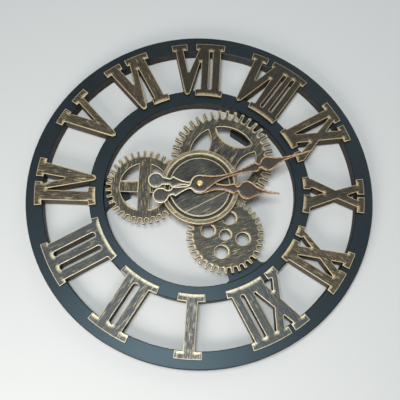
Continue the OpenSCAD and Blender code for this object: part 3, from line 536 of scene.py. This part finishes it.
def dressed(node, body, material, size, margin, grid, turn=0.0, centre=CENTRE,
            shift=0.0, rub_and_light=0.0, tips=None, dome=0.0):
    """A copy of a CAD node with its front edges rounded over size, and with what its paint
    needs in its vertices: edge, the millimetres to the nearest front edge; catch, 1 where
    the brush came over that edge and -1 where it went off it; depth, the millimetres below
    the front; flow, the place across and along its brush marks; sunk, 1 on recessed fronts;
    and a rub value, how much gold it got together with painted light: lighter above 0, where
    the light fell, darker below 0, where shade fell, and on the hands how far the tail is
    made paler. Teeth beyond the radius tips are rounded too."""
    bm = bmesh.new()
    bm.from_mesh(nodes[node].data)
    bmesh.ops.remove_doubles(bm, verts=bm.verts, dist=WELD)
    bmesh.ops.dissolve_limit(bm, angle_limit=FLAT_ANGLE, verts=bm.verts, edges=bm.edges)
    if tips:
        round_teeth(bm, centre, tips)
    bm.normal_update()
    levels = {}
    for f in bm.faces:
        if front(f):
            level = round(f.calc_center_median().y / LEVEL_STEP)
            levels.setdefault(level, []).append(f)
    top = min(levels)
    tiers = {k: Front(bm, faces) for k, faces in levels.items()}
    for k, tier in tiers.items():
        tier.rebuild(size if k == top else 0, margin, grid, 0 if k == top else dome)
    bm.verts.index_update()
    made = {k: [v.index for v in tier.made] for k, tier in tiers.items()}
    me = bpy.data.meshes.new(node + "_dressed")
    bm.to_mesh(me)
    bm.free()
    co = np.zeros(len(me.vertices) * 3)
    me.vertices.foreach_get("co", co)
    co = co.reshape(-1, 3)
    a = radians(turn)
    brush = np.array([sin(a), cos(a)])
    depth = (co[:, 1] - co[:, 1].min()) / MM
    edge, catch, sunk = (np.zeros(len(co)) for _ in range(3))
    for k, tier in tiers.items():
        ways = from_border(co[made[k]][:, (0, 2)] / MM, tier.starts, tier.ends)
        edge[made[k]] = np.linalg.norm(ways, axis=1)
        catch[made[k]] = ways @ brush / np.maximum(edge[made[k]], 0.01)
        if k != top:
            depth[made[k]] = 0
            sunk[made[k]] = 1
    x, z = (co[:, 0] - centre.x) / MM, (co[:, 2] - centre.z) / MM
    flow = np.stack([x * brush[1] - z * brush[0], x * brush[0] + z * brush[1],
                     np.full(len(co), shift)], 1)
    for name, values in (("edge", edge), ("depth", depth), ("catch", catch), ("sunk", sunk),
                         ("rub_and_light", np.full(len(co), rub_and_light))):
        me.attributes.new(name, "FLOAT", "POINT").data.foreach_set("value", values)
    me.attributes.new("flow", "FLOAT_VECTOR", "POINT").data.foreach_set(
        "vector", flow.reshape(-1))
    me.shade_smooth()
    me.set_sharp_from_angle(angle=SHARP_ANGLE)
    me.materials.append(material)
    piece = bpy.data.objects.new("dressed_" + node, me)
    bpy.context.scene.collection.objects.link(piece)
    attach(piece, body)
    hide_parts(node)
    repaint(nodes[node], material)


def repaint(cad, material):
    for place in cad.material_slots:
        place.material = material


# The slate paint with its paler gold goes on I, II, III and XII; it is partly their paint and
# partly a painted bluish sheen where the light reflected on them
slate_paint_and_sheen = bronze("slate_bronze_and_sheen", rgb(58, 65, 70), rgb(67, 70, 66), SOOT_AND_SHADE, GOLD, 0.65, 5.5)
warm_paint = bronze("warm_bronze", rgb(62, 56, 46), rgb(76, 67, 50), WARM_SOOT_AND_SHADE, WARM_GOLD, 1.1,
                    5.0)
gear_paint = bronze("gear_bronze", rgb(59, 61, 57), rgb(70, 66, 54), SOOT_AND_SHADE, WARM_GOLD, 1.2, 3.0)
hands_paint = hand_paint()

# How much gold each numeral got, above or below the usual, with painted light in it: I and II,
# where the light was brightest, get more; VII and VIII, in the weakest light, get less and are
# darker
RUB_AND_LIGHT = {"i": 0.18, "ii": 0.11, "iv": 0.03, "vi": -0.05, "vii": -0.16, "viii": -0.17, "ix": -0.09,
       "x": -0.1, "xi": 0.03}
for k, numeral in enumerate(NUMERALS):
    dressed("numeral_" + numeral, "frame",
            slate_paint_and_sheen if numeral in ("i", "ii", "iii", "xii") else warm_paint, 0.5, 0.3, 2.0,
            turn=30 * (k + 1), shift=37.0 * k, rub_and_light=RUB_AND_LIGHT.get(numeral, 0.0))

GEARS = {"gear_top": ((-0.3, 61.0), 280, 30), "gear_left": ((-41.3, -21.8), 62, 30),
         "gear_right": ((55.0, -31.9), 27, 30)}
for k, (gear, (at, turn, tips)) in enumerate(GEARS.items()):
    middle = CENTRE + Vector((at[0] * MM, 0, at[1] * MM))
    dressed(gear, "frame", gear_paint, 0.5, 0.3, 2.5, turn=turn,
            centre=middle, shift=500.0 + 41 * k, tips=tips * MM)

dressed("centre_disc", "frame", disc_paint(), 0.35, 0.3, 3.0, turn=90,
        shift=900.0)
dressed("hour_hand", "hour", hands_paint, 0.3, 0.15, 1.5, turn=304, shift=20.0,
        rub_and_light=1.0, dome=0.25)
dressed("minute_hand", "minute", hands_paint, 0.3, 0.15, 1.5, turn=280,
        shift=60.0, rub_and_light=0.25, dome=0.25)


# The rest keeps its CAD form and gets its own material

STOCK = {
    "ring_paint": ring_paint(),
    "brass": plain("brass", (182, 162, 110), (212, 194, 144), 0.75, 0.34, 1.2),
    "steel": plain("steel", (150, 152, 156), (186, 188, 192), 0.8, 0.38, 1.5),
    "black_plastic": plain("black_plastic", (24, 24, 26), (34, 34, 37), 0.0, 0.5, 2.4),
    "white_plastic": plain("white_plastic", (214, 211, 202), (228, 226, 218), 0.0, 0.42, 1.2),
    "rubber": plain("rubber", (22, 22, 22), (32, 32, 32), 0.0, 0.75, 1.8),
    "copper": plain("copper", (150, 82, 44), (186, 108, 62), 0.6, 0.35, 3.0, (0.2, 1, 1)),
    "board": plain("board", (24, 66, 40), (34, 84, 50), 0.0, 0.45, 0.8, None, 0.15,
                   (120, 108, 70)),
    "gear_bronze": plain("spacer_bronze", (50, 41, 30), (82, 68, 46), 0.4, 0.6, 0.6),
    "cell": plain("cell", (74, 96, 116), (92, 116, 136), 0.1, 0.35, 1.0, (0.2, 1, 1)),
}
for row in frame["record"]["subparts"]:
    if "dressed_" + row["node"] not in bpy.data.objects:
        repaint(nodes[row["node"]], STOCK[row["material_slot"]])


# Stage, light and camera

WALL_HALF = 2.5
corners = [(x * WALL_HALF, 0, z * WALL_HALF) for x, z in ((-1, -1), (1, -1), (1, 1), (-1, 1))]
wall_mesh = bpy.data.meshes.new("wall")
wall_mesh.from_pydata(corners, [], [(0, 1, 2, 3)])
wall = bpy.data.objects.new("wall", wall_mesh)
wall.location = (0, MM, CENTRE.z)
bpy.context.scene.collection.objects.link(wall)
# From behind, the wall lets the view and the rear lamps through, so the clock's back shows
pale = Material("pale_wall", roughness=0.9)
pale.set("Base Color", rgb(226, 226, 224))
pale.set("Specular IOR Level", 0.1)
clear = pale.node("ShaderNodeBsdfTransparent").outputs[0]
side = pale.node("ShaderNodeNewGeometry").outputs["Backfacing"]
swap = pale.tree.nodes.new("ShaderNodeMixShader")
pale.put(side, swap.inputs[0])
pale.put(pale.shader.outputs[0], swap.inputs[1])
pale.put(clear, swap.inputs[2])
pale.put(swap.outputs[0], pale.tree.nodes["Material Output"].inputs["Surface"])
wall_mesh.materials.append(pale.mat)
wall.visible_shadow = False
wall.visible_diffuse = False

# The backdrop shows to the camera and in reflections, and the dimmer room gives the light
world = bpy.data.worlds.new("studio")
world.use_nodes = True
tree = world.node_tree
room = tree.nodes["Background"]
room.inputs["Color"].default_value = rgb(214, 216, 220)
room.inputs["Strength"].default_value = 0.16
backdrop = tree.nodes.new("ShaderNodeBackground")
backdrop.inputs["Color"].default_value = rgb(236, 236, 235)
path = tree.nodes.new("ShaderNodeLightPath")
shown = path.outputs["Is Camera Ray"]
for ray in ("Is Glossy Ray", "Is Transmission Ray"):
    either = tree.nodes.new("ShaderNodeMath")
    either.operation = "MAXIMUM"
    tree.links.new(shown, either.inputs[0])
    tree.links.new(path.outputs[ray], either.inputs[1])
    shown = either.outputs[0]
choose = tree.nodes.new("ShaderNodeMixShader")
tree.links.new(shown, choose.inputs[0])
tree.links.new(room.outputs[0], choose.inputs[1])
tree.links.new(backdrop.outputs[0], choose.inputs[2])
tree.links.new(choose.outputs[0], tree.nodes["World Output"].inputs["Surface"])
bpy.context.scene.world = world


def lamp(name, place, size, level, colour=(1, 1, 1)):
    """A square lamp that lights a face turned to it, at the clock's centre, to level."""
    data = bpy.data.lights.new(name, "AREA")
    data.size = size
    data.energy = level * pi ** 2 * (Vector(place) - CENTRE).length_squared
    data.color = colour
    o = bpy.data.objects.new(name, data)
    o.location = place
    o.rotation_euler = (CENTRE - Vector(place)).to_track_quat("-Z", "Y").to_euler()
    o.visible_camera = False
    bpy.context.scene.collection.objects.link(o)


lamp("sheen", (0.17, -1.5, -0.14), 0.4, 0.6, (0.9, 0.97, 1.0))
lamp("key", (0.55, -0.5, 0.25), 0.4, 0.46, (1.0, 0.97, 0.92))
lamp("fill", (-1.1, -1.1, -0.6), 0.9, 0.1)
lamp("rear", (0.9, 1.3, 0.4), 0.9, 0.5)
lamp("rear_fill", (-1.0, 1.2, -0.7), 0.9, 0.3)

lens = bpy.data.cameras.new("photo")
lens.sensor_width = 36
lens.lens = 56.877
camera = bpy.data.objects.new("photo", lens)
camera.matrix_world = Matrix((
    (-0.886177, -0.440605, 0.143378, 0.1088),
    (-0.011011, -0.289327, -0.957167, -0.7103),
    (0.463216, -0.849798, 0.251543, -0.0004),
    (0, 0, 0, 1),
))
bpy.context.scene.collection.objects.link(camera)
bpy.context.scene.camera = camera
bpy.context.scene.view_settings.view_transform = "Standard"
